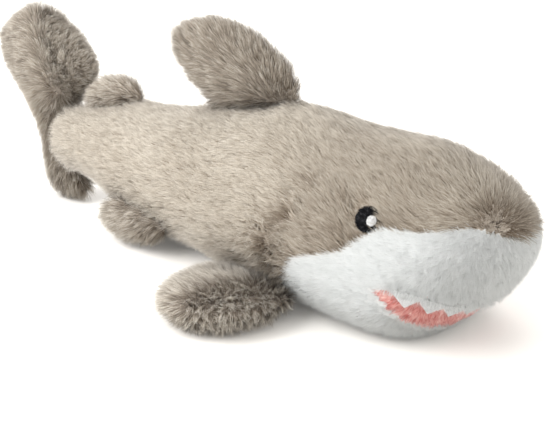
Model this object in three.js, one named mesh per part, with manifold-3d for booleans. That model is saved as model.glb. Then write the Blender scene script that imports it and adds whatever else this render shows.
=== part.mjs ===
// Plush shark: sewn long-pile panels over loose fibre filling, with soft fins that flex at their root seams.
// Units are millimetres. +X points to the nose, +Y to the shark's left, +Z up. The belly rests on z = 0.
// A panel's outer face is its pile pressed lightly by a hand, and its inner face is the woven backing.
import * as THREE from 'three';
import Module from 'manifold-3d';

const wasm = await Module();
wasm.setup();

// Moves the whole shark so that its bounding box is centred on the origin
const CENTRE_SHIFT_X = 2.83;

// Fabric and filling
const GAP = 0.3;
const BODY_PANEL = 5;
const FIN_PANEL = 2.4;
const FILLING_GAP = 0.35;

// Body outline from nose to tail: x, underside z, z of the widest place, top z, half width
const BODY_STATIONS = [
  [216.5, 62, 62, 62, 0.01],
  [215, 54.5, 62, 71, 12],
  [211, 41.5, 57, 77, 23],
  [203, 29.5, 52, 83, 33],
  [193, 18, 46, 89.5, 41.5],
  [182, 7.5, 40, 95, 47.5],
  [171, 1.8, 35, 99, 51],
  [158, -1.2, 31, 101.5, 53.5],
  [140, -1.2, 31, 101.5, 54.5],
  [115, -1.2, 34, 102, 53],
  [90, -1.2, 38, 105, 50.5],
  [68, -1.2, 42, 106.5, 49],
  [35, 0, 45, 100.5, 45],
  [5, 4, 46, 94, 42.5],
  [-25, 10, 48, 89.5, 39.5],
  [-50, 15, 49.5, 87, 36],
  [-75, 19, 51, 84, 32],
  [-100, 24.5, 52, 78, 27],
  [-122, 28, 52, 72.8, 22],
  [-140, 30.5, 51, 69, 17],
  [-149, 35, 51, 65, 12],
  [-153, 42, 51, 60, 6],
  [-154, 51, 51, 51, 0.01],
];
const OUTER_GRID = [34, 26];
const INNER_GRID = [20, 16];
const UPPER_FULLNESS = 1.85;
const JAW_FULLNESS = 2.3;
const REAR_FULLNESS = 2.05;

// Seam between the coloured back and the white underside, as x and z seen from the side
const SIDE_SEAM = [
  [240, 64], [216, 64.5], [209, 69.5], [200, 72], [190, 71], [178, 67.5], [162, 66.5], [152, 62.5], [144, 55],
  [136, 49], [120, 43.5], [106, 38.5], [101, 30], [97, 18], [88, 9], [60, 5.2], [35, 5], [5, 8.8],
  [-25, 14.6], [-50, 19.6], [-75, 23.6], [-100, 29], [-122, 32.4], [-140, 35], [-170, 37],
];

// The mouth and the seam behind its corners, seen from above a post in the head:
// angle from straight ahead, lower lip z and upper lip z
const MOUTH_POST_X = 150;
const MOUTH = [
  [0, 13, 26], [15, 13.2, 26.4], [27, 14, 27.8], [36, 15, 30], [46, 17.4, 33.2], [55, 20.4, 35.8],
  [63, 24.6, 37], [71, 30.5, 37], [75, 33.5, 36.7], [78, 35.2, 36],
];
const CHEEK_SEAM = [[0, 20], [60, 30], [78, 35.5], [100, 31], [120, 25], [135, 18.5], [141, 14]];

// Joints
const BEND_X = -96;
const BEND_RADIUS = 28.6;
const ROOT_RADIUS = 3;

// Eyes
const EYE_DIAMETER = 12.6;
const EYE_THICKNESS = 1.6;
const HIGHLIGHT_DIAMETER = 5.6;
const HIGHLIGHT_THICKNESS = 0.7;
const HIGHLIGHT_FORWARD = 3.7;
const HIGHLIGHT_DOWN = 0.3;
const EYE_LIFT = 0.9;
const EYE_X = 148;
const EYE_Z = 69;

// Felt teeth, cut as one zigzag strip
const TOOTH_COUNT = 10;
const TOOTH_PITCH = 13.3;
const TOOTH_DEPTH = 6.6;
const NOTCH_DEPTH = 0.6;
const FELT_THICKNESS = 1.2;
const FELT_LIFT = 0.6;
const FELT_BAND = 1.6;
const STEPS_PER_TOOTH = 4;

const COLOURS = {
  back: 0xbfb6a6,
  fin: 0xa39a8c,
  white: 0xe6e6e4,
  mouth: 0xe09a92,
  felt: 0xf0efed,
  eye: 0x17161a,
  filling: 0xf4f2ec,
};

const shark = new THREE.Group();

function addMesh(name, geometry, colour, roughness = 0.95) {
  const material = new THREE.MeshStandardMaterial({ color: colour, roughness, metalness: 0 });
  geometry.translate(CENTRE_SHIFT_X, 0, 0);
  const mesh = new THREE.Mesh(geometry, material);
  mesh.name = name;
  shark.add(mesh);
}

// --- Solids -------------------------------------------------------------------------------------

// A closed skin through rings of points, with a point in the middle of each end ring
function ringGeometry(rings) {
  const sides = rings[0].length;
  const positions = rings.flat().flatMap((point) => point.toArray());
  const indices = [];
  for (let ring = 0; ring < rings.length - 1; ring += 1) {
    for (let side = 0; side < sides; side += 1) {
      const a = ring * sides + side;
      const b = ring * sides + (side + 1) % sides;
      indices.push(a, b, a + sides, b, b + sides, a + sides);
    }
  }
  const middleOf = (ring) => ring.reduce((sum, p) => sum.add(p), new THREE.Vector3()).divideScalar(sides);
  const firstPole = rings.length * sides;
  const lastStart = (rings.length - 1) * sides;
  positions.push(...middleOf(rings[0]).toArray(), ...middleOf(rings.at(-1)).toArray());
  for (let side = 0; side < sides; side += 1) {
    const next = (side + 1) % sides;
    indices.push(firstPole, next, side);
    indices.push(firstPole + 1, lastStart + side, lastStart + next);
  }
  const geometry = new THREE.BufferGeometry();
  geometry.setAttribute('position', new THREE.Float32BufferAttribute(positions, 3));
  geometry.setIndex(indices);
  return geometry;
}

function toSolid(geometry) {
  const vertProperties = new Float32Array(geometry.attributes.position.array);
  const triVerts = new Uint32Array(geometry.index.array);
  const solid = new wasm.Manifold(new wasm.Mesh({ numProp: 3, vertProperties, triVerts }));
  if (solid.volume() >= 0) return solid;
  const flipped = triVerts.slice();
  for (let i = 0; i < flipped.length; i += 3) [flipped[i + 1], flipped[i + 2]] = [triVerts[i + 2], triVerts[i + 1]];
  return new wasm.Manifold(new wasm.Mesh({ numProp: 3, vertProperties, triVerts: flipped }));
}

function toGeometry(solid) {
  const mesh = solid.getMesh();
  const geometry = new THREE.BufferGeometry();
  geometry.setAttribute('position', new THREE.BufferAttribute(mesh.vertProperties, 3));
  geometry.setIndex(new THREE.BufferAttribute(mesh.triVerts, 1));
  return geometry;
}

// The largest separate body of a cut, which drops slivers left by crossing cutters
function mainBody(solid) {
  return solid.decompose().reduce((best, piece) => (piece.volume() > best.volume() ? piece : best));
}

function boxSolid(low, high) {
  const size = high.map((value, axis) => value - low[axis]);
  const box = new THREE.BoxGeometry(...size);
  box.translate(...low.map((value, axis) => value + size[axis] / 2));
  return toSolid(weld(box));
}

// Shares the corners of a geometry that repeats them for its normals
function weld(geometry) {
  const source = geometry.index ? geometry.toNonIndexed() : geometry;
  const array = source.attributes.position.array;
  const seen = new Map();
  const positions = [];
  const indices = [];
  for (let i = 0; i < array.length; i += 3) {
    const key = [array[i], array[i + 1], array[i + 2]].map((value) => Math.round(value * 1e4)).join();
    if (!seen.has(key)) {
      seen.set(key, seen.size);
      positions.push(array[i], array[i + 1], array[i + 2]);
    }
    indices.push(seen.get(key));
  }
  const welded = new THREE.BufferGeometry();
  welded.setAttribute('position', new THREE.Float32BufferAttribute(positions, 3));
  welded.setIndex(indices);
  return welded;
}

// An outline drawn in the XZ plane and extruded through the whole width of the shark
function sidePrism(points) {
  const reach = 90;
  const shape = new THREE.Shape(points.map(([x, z]) => new THREE.Vector2(x, z)));
  const geometry = new THREE.ExtrudeGeometry(shape, { depth: 2 * reach, bevelEnabled: false });
  geometry.rotateX(Math.PI / 2);
  geometry.translate(0, reach, 0);
  return toSolid(weld(geometry));
}

function postSolid(radius, x) {
  const post = new THREE.CylinderGeometry(radius, radius, 300, 48);
  post.rotateX(Math.PI / 2);
  post.translate(x, 0, 60);
  return toSolid(weld(post));
}

const raise = (points, lift) => points.map(([x, z]) => [x, z + lift]);

// --- Body ---------------------------------------------------------------------------------------

const edgeCurve = new THREE.CatmullRomCurve3(
  BODY_STATIONS.map(([x, bottom, , top]) => new THREE.Vector3(x, bottom, top)), false, 'catmullrom', 0.5,
);
const girthCurve = new THREE.CatmullRomCurve3(
  BODY_STATIONS.map(([, , widest, , half]) => new THREE.Vector3(widest, half, 0)), false, 'catmullrom', 0.5,
);

function bodyPoint(along, turn) {
  const edge = edgeCurve.getPoint(along);
  const girth = girthCurve.getPoint(along);
  const lower = THREE.MathUtils.lerp(REAR_FULLNESS, JAW_FULLNESS, THREE.MathUtils.smoothstep(edge.x, 0, 110));
  const fullness = Math.sin(turn) > 0 ? UPPER_FULLNESS : lower;
  const height = Math.sin(turn) > 0 ? edge.z - girth.x : girth.x - edge.y;
  const bulge = (value) => Math.sign(value) * Math.abs(value) ** (2 / fullness);
  const half = Math.max(girth.y, 0.01);
  return new THREE.Vector3(edge.x, half * bulge(Math.cos(turn)), girth.x + height * bulge(Math.sin(turn)));
}

function bodyGeometry([ringCount, sideCount]) {
  const rings = [];
  for (let ring = 1; ring < ringCount; ring += 1) {
    const points = [];
    for (let side = 0; side < sideCount; side += 1) {
      points.push(bodyPoint(ring / ringCount, (side / sideCount) * Math.PI * 2));
    }
    rings.push(points);
  }
  return ringGeometry(rings);
}

// The same skin moved inwards along its normals
function insetGeometry(geometry, depth) {
  const inner = geometry.clone();
  inner.computeVertexNormals();
  const position = inner.attributes.position;
  const normal = inner.attributes.normal;
  const outward = toSolidSign(geometry);
  for (let i = 0; i < position.count; i += 1) {
    const step = -depth * outward;
    position.setXYZ(
      i,
      position.getX(i) + normal.getX(i) * step,
      position.getY(i) + normal.getY(i) * step,
      position.getZ(i) + normal.getZ(i) * step,
    );
  }
  return inner;
}

// +1 where the triangles already face outwards, -1 where they face inwards
function toSolidSign(geometry) {
  const p = geometry.attributes.position;
  const index = geometry.index.array;
  const corner = (i) => new THREE.Vector3().fromBufferAttribute(p, index[i]);
  let volume = 0;
  for (let i = 0; i < index.length; i += 3) volume += corner(i).dot(corner(i + 1).cross(corner(i + 2)));
  return Math.sign(volume);
}

const FAR = 400;
const floorCut = boxSolid([-FAR, -FAR, -FAR], [FAR, FAR, 0]);
const bodyOuterGeometry = bodyGeometry(OUTER_GRID);
const bodyInnerGeometry = bodyGeometry(INNER_GRID);
const bodyOuter = toSolid(bodyOuterGeometry).subtract(floorCut);
const cavity = toSolid(insetGeometry(bodyInnerGeometry, BODY_PANEL));
const fillingSolid = toSolid(insetGeometry(bodyInnerGeometry, BODY_PANEL + FILLING_GAP));
const skin = bodyOuter.subtract(cavity);

// The trunk ends in a hollow post face and the tail stock starts with the post that turns in it
const bendHollow = postSolid(BEND_RADIUS + GAP, BEND_X);
const bendPost = postSolid(BEND_RADIUS, BEND_X);
const behindBend = boxSolid([-FAR, -FAR, -FAR], [BEND_X, FAR, FAR]);
const aheadOfBend = boxSolid([BEND_X, -FAR, -FAR], [FAR, FAR, FAR]);
const trunkOf = (solid) => solid.intersect(aheadOfBend).subtract(bendHollow);
const stockOf = (solid) => solid.subtract(aheadOfBend.subtract(bendPost));

const belowSeam = sidePrism([...SIDE_SEAM, [-160, -50], [240, -50]]);
const belowSeamRaised = sidePrism([...raise(SIDE_SEAM, GAP), [-160, -50], [240, -50]]);
const leftHalf = boxSolid([-FAR, GAP / 2, -FAR], [FAR, FAR, FAR]);
const rightHalf = boxSolid([-FAR, -FAR, -FAR], [FAR, -GAP / 2, FAR]);

function addBackPanels() {
  const back = skin.subtract(belowSeamRaised);
  for (const [side, half] of [['left', leftHalf], ['right', rightHalf]]) {
    const panel = back.intersect(half);
    addMesh(`back_panel_${side}`, toGeometry(mainBody(trunkOf(panel))), COLOURS.back);
    addMesh(`tail_stock_panel_${side}`, toGeometry(mainBody(stockOf(panel))), COLOURS.back);
  }
}

// A solid that fans out from the mouth post between two heights that change with the angle
function fanSolid(rows) {
  const [near, far] = [4, 95];
  const rings = [...rows.slice(1).reverse().map(([angle, ...rest]) => [-angle, ...rest]), ...rows].map(
    ([angle, low, high]) => {
      const turn = THREE.MathUtils.degToRad(angle);
      const at = (radius, z) => new THREE.Vector3(
        MOUTH_POST_X + radius * Math.cos(turn), radius * Math.sin(turn), z,
      );
      return [at(near, low), at(far, low), at(far, high), at(near, high)];
    },
  );
  return toSolid(ringGeometry(rings));
}

const HEAD_TOP = 150;
const mouthFill = fanSolid(MOUTH);
const mouthOpening = fanSolid(MOUTH.map(([angle, low, high]) => [angle, low - GAP, high + GAP]));
const muzzleSide = fanSolid(CHEEK_SEAM.map(([angle, z]) => [angle, z, HEAD_TOP]));
const muzzleSideGrown = fanSolid(CHEEK_SEAM.map(([angle, z]) => [angle, z - GAP, HEAD_TOP]));

function addUndersidePanels() {
  const underside = skin.intersect(belowSeam).subtract(mouthOpening);
  addMesh('muzzle_panel', toGeometry(mainBody(underside.intersect(muzzleSide))), COLOURS.white);
  const belly = underside.subtract(muzzleSideGrown);
  addMesh('chin_and_belly_panel', toGeometry(mainBody(trunkOf(belly))), COLOURS.white);
  addMesh('tail_stock_belly_panel', toGeometry(mainBody(stockOf(belly))), COLOURS.white);
  addMesh('mouth_lining', toGeometry(mainBody(skin.intersect(mouthFill))), COLOURS.mouth);
}

function addBodyFilling() {
  addMesh('trunk_filling', toGeometry(mainBody(trunkOf(fillingSolid))), COLOURS.filling, 1);
  addMesh('tail_stock_filling', toGeometry(mainBody(stockOf(fillingSolid))), COLOURS.filling, 1);
}

// --- Eyes ---------------------------------------------------------------------------------------

const bodyTarget = new THREE.Mesh(bodyOuterGeometry, new THREE.MeshBasicMaterial({ side: THREE.DoubleSide }));

// Where a line from far outside first meets the body, with the body's outward normal there
function surfaceAt(origin, direction) {
  const hit = new THREE.Raycaster(origin, direction).intersectObject(bodyTarget)[0];
  const normal = hit.face.normal.clone();
  if (normal.dot(direction) > 0) normal.negate();
  return { point: hit.point, normal };
}

const flankAt = (x, z, side) => surfaceAt(new THREE.Vector3(x, side * FAR, z), new THREE.Vector3(0, -side, 0));

// A round button of stitching, domed on its outer face
function stitchedDisc(diameter, thickness) {
  const radius = diameter / 2;
  const profile = [
    [0, 0], [radius * 0.94, 0], [radius, thickness * 0.4], [radius * 0.8, thickness * 0.85], [0, thickness],
  ].map(([r, h]) => new THREE.Vector2(r, h));
  const disc = new THREE.LatheGeometry(profile, 20);
  disc.rotateX(Math.PI / 2);
  return weld(disc);
}

function addEye(side, label) {
  const { point, normal } = flankAt(EYE_X, EYE_Z, side);
  const facing = new THREE.Quaternion().setFromUnitVectors(new THREE.Vector3(0, 0, 1), normal);
  const addDisc = (name, diameter, thickness, place, colour) => {
    const disc = stitchedDisc(diameter, thickness);
    disc.applyQuaternion(facing);
    disc.translate(...place.toArray());
    addMesh(name, disc, colour, 0.65);
  };
  const eyePlace = point.clone().addScaledVector(normal, EYE_LIFT);
  addDisc(`eye_${label}`, EYE_DIAMETER, EYE_THICKNESS, eyePlace, COLOURS.eye);

  const forward = new THREE.Vector3(1, 0, 0).addScaledVector(normal, -normal.x).normalize();
  const downward = new THREE.Vector3(0, 0, -1).addScaledVector(normal, normal.z).normalize();
  const highlightPlace = eyePlace.clone()
    .addScaledVector(normal, EYE_THICKNESS + GAP)
    .addScaledVector(forward, HIGHLIGHT_FORWARD)
    .addScaledVector(downward, HIGHLIGHT_DOWN);
  addDisc(`eye_highlight_${label}`, HIGHLIGHT_DIAMETER, HIGHLIGHT_THICKNESS, highlightPlace, COLOURS.felt);
}

// --- Teeth --------------------------------------------------------------------------------------

// Height of the upper lip at an angle around the mouth post
function lipHeight(angle) {
  const turn = Math.abs(angle);
  const next = MOUTH.findIndex(([rowAngle]) => rowAngle >= turn);
  const [fromAngle, , fromZ] = MOUTH[Math.max(next - 1, 0)];
  const [toAngle, , toZ] = MOUTH[next];
  return toAngle === fromAngle ? toZ : fromZ + ((toZ - fromZ) * (turn - fromAngle)) / (toAngle - fromAngle);
}

// Points one degree apart along the upper lip, with their distance from the middle of the snout
function lipPath() {
  const widest = Math.floor(MOUTH.at(-1)[0]) - 1;
  const path = [];
  for (let angle = -widest; angle <= widest; angle += 1) {
    const turn = THREE.MathUtils.degToRad(angle);
    const outward = new THREE.Vector3(Math.cos(turn), Math.sin(turn), 0);
    const origin = new THREE.Vector3(MOUTH_POST_X, 0, lipHeight(angle)).addScaledVector(outward, FAR);
    path.push({ ...surfaceAt(origin, outward.negate()), travel: 0 });
  }
  for (let i = widest - 1; i >= 0; i -= 1) {
    const step = path[i].point.distanceTo(path[i + 1].point);
    path[i].travel = path[i + 1].travel - step;
    path[2 * widest - i].travel = -path[i].travel;
  }
  return path;
}

// The lip's point, outward normal and downward direction at a distance from the middle
function lipFrame(path, travel) {
  const near = path.filter((entry) => Math.abs(entry.travel - travel) < TOOTH_PITCH / 2);
  const normal = near.reduce((sum, entry) => sum.add(entry.normal), new THREE.Vector3()).normalize();
  const along = near.at(-1).point.clone().sub(near[0].point).normalize();
  const down = along.cross(normal).normalize();
  if (down.z > 0) down.negate();
  const after = Math.max(path.findIndex((entry) => entry.travel >= travel), 1);
  const [a, b] = [path[after - 1], path[after]];
  const point = a.point.clone().lerp(b.point, (travel - a.travel) / (b.travel - a.travel));
  return { point, normal, down };
}

function addTeeth() {
  const path = lipPath();
  const steps = TOOTH_COUNT * STEPS_PER_TOOTH;
  const rings = [];
  for (let step = 0; step <= steps; step += 1) {
    const { point, normal, down } = lipFrame(path, (step / STEPS_PER_TOOTH - TOOTH_COUNT / 2) * TOOTH_PITCH);
    const phase = (step % STEPS_PER_TOOTH) / STEPS_PER_TOOTH;
    const rise = 1 - Math.abs(2 * phase - 1);
    const drop = NOTCH_DEPTH + (TOOTH_DEPTH - NOTCH_DEPTH) * rise;
    const at = (fall, lift) => point.clone().addScaledVector(down, fall).addScaledVector(normal, lift);
    const outerLift = FELT_LIFT + FELT_THICKNESS;
    rings.push([at(-FELT_BAND, FELT_LIFT), at(-FELT_BAND, outerLift), at(drop, outerLift), at(drop, FELT_LIFT)]);
  }
  const strip = toSolid(ringGeometry(rings));
  addMesh('felt_teeth', toGeometry(strip), COLOURS.felt, 0.9);
}

// --- Fins ---------------------------------------------------------------------------------------

const FIN_SIDES = 16;
const POCKET_SIDES = 10;

// Rings of a pillow-shaped fin. Each station gives the front and rear of its chord and its half thickness
function finRings(stations, ringCount, sideCount, place) {
  const front = new THREE.CatmullRomCurve3(stations.map(([a, b]) => new THREE.Vector3(a, b, 0)), false, 'catmullrom');
  const rear = new THREE.CatmullRomCurve3(stations.map(([, , c, d]) => new THREE.Vector3(c, d, 0)), false, 'catmullrom');
  const half = new THREE.CatmullRomCurve3(stations.map((s) => new THREE.Vector3(s[4], 0, 0)), false, 'catmullrom');
  const rings = [];
  for (let ring = 0; ring <= ringCount; ring += 1) {
    const along = ring / ringCount;
    const lead = front.getPoint(along);
    const trail = rear.getPoint(along);
    const thickness = Math.max(half.getPoint(along).x, 0.4);
    const points = [];
    for (let side = 0; side < sideCount; side += 1) {
      const turn = (side / sideCount) * Math.PI * 2;
      const point = trail.clone().lerp(lead, 0.5 + 0.5 * Math.cos(turn));
      points.push(place(point.x, point.y, thickness * Math.sin(turn)));
    }
    rings.push(points);
  }
  return rings;
}

function insetStations(stations, rim, face) {
  const middle = (s) => [(s[0] + s[2]) / 2, (s[1] + s[3]) / 2];
  return stations.filter((s) => s[4] > face + 1.5).map((s) => {
    const [a, b] = middle(s);
    const reach = Math.hypot(s[0] - a, s[1] - b);
    const keep = (reach - rim) / reach;
    return [a + (s[0] - a) * keep, b + (s[1] - b) * keep, a + (s[2] - a) * keep, b + (s[3] - b) * keep, s[4] - face];
  });
}

// Two fabric panels and their filling, split by the fin's middle plane
function addFin(name, sides, stations, ringCount, place, colour) {
  const pocketRings = Math.round(ringCount * 0.7);
  const outer = toSolid(ringGeometry(finRings(stations, ringCount, FIN_SIDES, place)));
  const pocketStations = insetStations(stations, FIN_PANEL * 2, FIN_PANEL);
  const pocket = toSolid(ringGeometry(finRings(pocketStations, pocketRings, POCKET_SIDES, place)));
  const shell = outer.subtract(pocket);
  const reach = 300;
  const slab = (low, high) => {
    const box = new THREE.BoxGeometry(2 * reach, 2 * reach, high - low);
    const position = box.attributes.position;
    for (let i = 0; i < position.count; i += 1) {
      const z = position.getZ(i) + (low + high) / 2;
      position.setXYZ(i, ...place(position.getX(i), position.getY(i), z).toArray());
    }
    return toSolid(weld(box));
  };
  const above = slab(GAP / 2, reach);
  const below = slab(-reach, -GAP / 2);
  addMesh(`${name}_${sides[0]}`, toGeometry(mainBody(shell.intersect(above))), colour);
  addMesh(`${name}_${sides[1]}`, toGeometry(mainBody(shell.intersect(below))), colour);
  const fillingStations = insetStations(stations, FIN_PANEL * 2 + FILLING_GAP, FIN_PANEL + FILLING_GAP);
  const filling = ringGeometry(finRings(fillingStations, pocketRings, POCKET_SIDES, place));
  addMesh(`${name}_filling`, toGeometry(toSolid(filling)), COLOURS.filling, 1);
}

const uprightFin = (a, b, depth) => new THREE.Vector3(a, depth, b);

const DORSAL_STATIONS = [
  [66, 108.4, -2, 94.2, 1.2],
  [66, 110.9, -3.5, 96.8, ROOT_RADIUS],
  [64, 116.5, -9, 104.5, 6.5],
  [58, 124.5, -19, 112.5, 9],
  [50, 131.5, -27, 120.5, 9.8],
  [40, 138.5, -33.5, 128.5, 9.3],
  [28, 144.5, -36, 135.5, 7.8],
  [14, 148.6, -28, 143, 4.8],
  [2, 150, -14, 148.2, 1],
];

const SECOND_DORSAL_STATIONS = [
  [-70, 86.4, -124, 74.9, 1.2],
  [-69, 89.2, -125, 77.2, ROOT_RADIUS],
  [-69.5, 93, -126, 82, 5],
  [-73, 97, -122, 88.5, 5.5],
  [-81, 100, -116.5, 94.5, 4.2],
  [-91, 101, -107, 98, 1],
];

const TAIL_STATIONS = [
  [-148, 4.2, -164, 4.2, 1.2],
  [-137, 8.5, -173, 8, 5.5],
  [-139, 16, -176.5, 15, 7.5],
  [-149, 25, -177, 24, 8],
  [-156.5, 35, -177, 35, 8],
  [-157.5, 46, -178, 46, 8],
  [-157.5, 58, -183, 58, 8.5],
  [-154.5, 69, -191, 69, 9],
  [-143.5, 77.5, -200, 79, 9.5],
  [-134, 85, -210, 89, 10],
  [-125.5, 93, -217, 98, 10],
  [-121.5, 102, -221.5, 108, 10],
  [-125, 112, -219, 117, 9.8],
  [-137.5, 121.5, -211, 126, 9],
  [-150, 130.5, -200, 133, 7.5],
  [-162, 136.8, -191, 137, 5],
  [-172, 139.6, -183, 139.5, 1],
];

const PECTORAL_STATIONS = [
  [100, -2.8, 42, -2.8, 1.2],
  [101, 0, 41, 0, ROOT_RADIUS],
  [103, 8, 38.5, 8, 6],
  [103, 20, 37.5, 20, 8.5],
  [101, 32, 38.5, 32, 9],
  [96, 43.5, 42, 43, 8.5],
  [87, 51.5, 49, 51, 6.5],
  [77, 56.2, 58, 55.8, 3.5],
  [71, 57.6, 64, 57.5, 0.9],
];
const PECTORAL_ROOT_Y = 48.5;
const PECTORAL_ROOT_Z = 12;

const PELVIC_STATIONS = [
  [1, -2.8, 50, -2.8, 1.2],
  [0, 0, 52, 0, ROOT_RADIUS],
  [0, 4.5, 58.5, 4.5, 5],
  [3, 9, 61.5, 10, 5.8],
  [11, 14, 61, 15.5, 5.2],
  [22, 17.5, 57.5, 19, 3.6],
  [34, 20, 49.5, 20.5, 0.9],
];
const PELVIC_ROOT_FRONT = [-13, 36, 21];
const PELVIC_ROOT_REAR = [-64, 31.1, 29.7];
const PELVIC_SPAN = [0.08, 0.3, -0.95];

function pectoralPlace(side) {
  return (a, b, depth) => new THREE.Vector3(a, side * (PECTORAL_ROOT_Y + b), PECTORAL_ROOT_Z + depth);
}

// Chord, span and thickness directions of a pelvic fin, which droops from the flank to the floor
function pelvicFrame(side) {
  const mirror = (v) => new THREE.Vector3(v[0], side * v[1], v[2]);
  const origin = mirror(PELVIC_ROOT_FRONT);
  const chord = mirror(PELVIC_ROOT_REAR).sub(origin).normalize();
  const span = mirror(PELVIC_SPAN);
  span.addScaledVector(chord, -span.dot(chord)).normalize();
  const normal = chord.clone().cross(span).multiplyScalar(side).normalize();
  return { origin, chord, span, normal };
}

function pelvicPlace(side) {
  const { origin, chord, span, normal } = pelvicFrame(side);
  return (a, b, depth) => origin.clone()
    .addScaledVector(chord, a).addScaledVector(span, b).addScaledVector(normal, -depth);
}

addBackPanels();
addUndersidePanels();
addBodyFilling();
addTeeth();
for (const [side, label] of [[1, 'left'], [-1, 'right']]) {
  addEye(side, label);
  addFin(`pectoral_fin_${label}`, ['upper', 'lower'], PECTORAL_STATIONS, 10, pectoralPlace(side), COLOURS.fin);
  addFin(`pelvic_fin_${label}`, ['upper', 'lower'], PELVIC_STATIONS, 8, pelvicPlace(side), COLOURS.fin);
}
addFin('dorsal_fin', ['left', 'right'], DORSAL_STATIONS, 11, uprightFin, COLOURS.fin);
addFin('second_dorsal_fin', ['left', 'right'], SECOND_DORSAL_STATIONS, 8, uprightFin, COLOURS.fin);
addFin('tail_fin', ['left', 'right'], TAIL_STATIONS, 16, uprightFin, COLOURS.fin);

export default shark;
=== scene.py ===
"""Plush shark: stuffed cloth skins under a mesh pile, with felt teeth and thread eyes.

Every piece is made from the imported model's own solids and stays in its frame, in metres.
Skins are inflated by cloth pressure, then each coat of pile is grown on them strand by strand.
"""
import math

import bmesh
import bpy
import numpy as np
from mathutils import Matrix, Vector
from mathutils.bvhtree import BVHTree


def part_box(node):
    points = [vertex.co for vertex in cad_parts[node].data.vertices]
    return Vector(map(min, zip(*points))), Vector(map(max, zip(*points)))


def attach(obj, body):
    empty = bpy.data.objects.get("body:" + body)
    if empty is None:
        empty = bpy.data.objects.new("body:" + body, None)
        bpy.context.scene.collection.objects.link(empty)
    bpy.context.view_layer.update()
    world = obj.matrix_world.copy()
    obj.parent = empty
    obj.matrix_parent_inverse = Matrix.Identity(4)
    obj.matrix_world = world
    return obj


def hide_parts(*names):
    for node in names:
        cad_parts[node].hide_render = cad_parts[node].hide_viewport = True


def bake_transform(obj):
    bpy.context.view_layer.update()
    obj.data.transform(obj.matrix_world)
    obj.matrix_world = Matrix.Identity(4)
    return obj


# Camera, as a photographer would place it: in front of the right side, looking down a little
CAMERA_PLACE = (0.4296, -0.4444, 0.2534)
CAMERA_YAW = 130.53
CAMERA_PITCH = -20.53
CAMERA_LENS = 65.4
SENSOR_WIDTH = 36.0

# Studio
WORLD_STRENGTH = 0.96
WORLD_COLOUR = (1.0, 0.985, 0.96)
TABLE_GLOW = 0.06
KEY_LIGHT = {"place": (-0.56, -0.68, 0.66), "target": (0.0, 0.0, 0.05), "size": 1.0, "watts": 14.5}
FRONT_LIGHT = {"place": (-0.15, -0.85, 0.45), "target": (0.0, 0.0, 0.03), "size": 0.6, "watts": 2.5}
FILL_LIGHT = {"place": (1.0, -0.15, 0.65), "target": (0.0, 0.0, 0.05), "size": 1.0, "watts": 4.9}
RIM_LIGHT = {"place": (-0.5, 0.9, 0.9), "target": (0.0, 0.0, 0.05), "size": 1.0, "watts": 10.0}
FLOOR_SIZE = 8.0
FLOOR_COLOUR = (0.82, 0.80, 0.77, 1.0)
FLOOR_GLOW_COLOUR = (1.0, 0.98, 0.95, 1.0)

# The pile parts and fans out from here on the nose, and its core is short and darkened with painted shade
# where the pile parts
WHORL = np.array([0.2112, -0.0150, 0.0740])
WHORL_REACH = 0.024
WHORL_CORE = 0.010

# A fold in the flank above each pectoral fin, as points from the seam upwards on the left side:
# how wide its line of painted shade is, how far from it the pile parts, and how far its sides are ruffled
FOLD = [(0.094, 0.050, 0.024), (0.084, 0.050, 0.039), (0.101, 0.048, 0.060)]
FOLD_LINE = 0.0035
FOLD_PARTING = 0.008
FOLD_SIDES = 0.015

# Tufted hollows on each cheek and flank, darkened with painted shade: place on the left side, and reach
HOLLOWS = [
    ((0.111, 0.039, 0.077), 0.005),
    ((0.136, 0.042, 0.073), 0.006),
    ((0.139, 0.049, 0.057), 0.006),
    ((0.124, 0.048, 0.052), 0.006),
    ((0.096, 0.050, 0.035), 0.007),
]

# How far from a fin's root seam, ridge and front the pile parts, is darkened with painted shade or stands
# up
SEAM_PARTING = 0.016
SEAM_CREASE = 0.010
SEAM_SIDES = 0.010
RIDGE_GAP = 0.007
FRONT_ON_BODY = 0.009
FRONT_ON_FIN = 0.012

# A mix node's sockets for colours, which share their names with its other sockets
MIX_A = 6
MIX_B = 7
MIX_RESULT = 2

# Nothing of the toy comes closer to the floor than this
FLOOR_CLEARANCE = 0.0002

# Skins: the cell size each is rebuilt at, and how cloth pressure puffs them out
BODY_CELL = 0.005
FIN_CELL = 0.003
PUFF_LIMIT = 0.003
PUFF_FRAMES = 14
PUFF_PRESSURE = 4.0
CLOTH_STRETCH = 25.0
CLOTH_BENDING = 2.0

# Pile: the most triangles in one piece, the steepest a strand stands (in radians), how much
# narrower it is at its tip, and how far its shading leans from the skin's towards its own
PIECE_TRIANGLES = 190000
STEEPEST_LIFT = 1.6
TIP_NARROWING = 0.75
NORMAL_LEAN = 0.15

# How far from the middle of an eye the body's pile starts
EYE_CLEAR_BACK = 0.0056
EYE_CLEAR_WHITE = 0.0062

# Random draws: where each set starts, and what turns a cell's place into one whole number
BODY_SEED = 100
FIN_SEED = 200
SEED_STEP = 10
EYE_SEED = 300
TEETH_SEED = 310
CELL_MIX = np.array([73856093, 19349663, 83492791])

# The body's CAD panels by the cloth they are made of
BODY_GROUPS = {
    "back": ["back_panel_left", "back_panel_right", "tail_stock_panel_left", "tail_stock_panel_right"],
    "white": ["muzzle_panel", "chin_and_belly_panel", "tail_stock_belly_panel"],
    "mouth": ["mouth_lining"],
}
FILLINGS = ["trunk_filling", "tail_stock_filling"]

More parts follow.
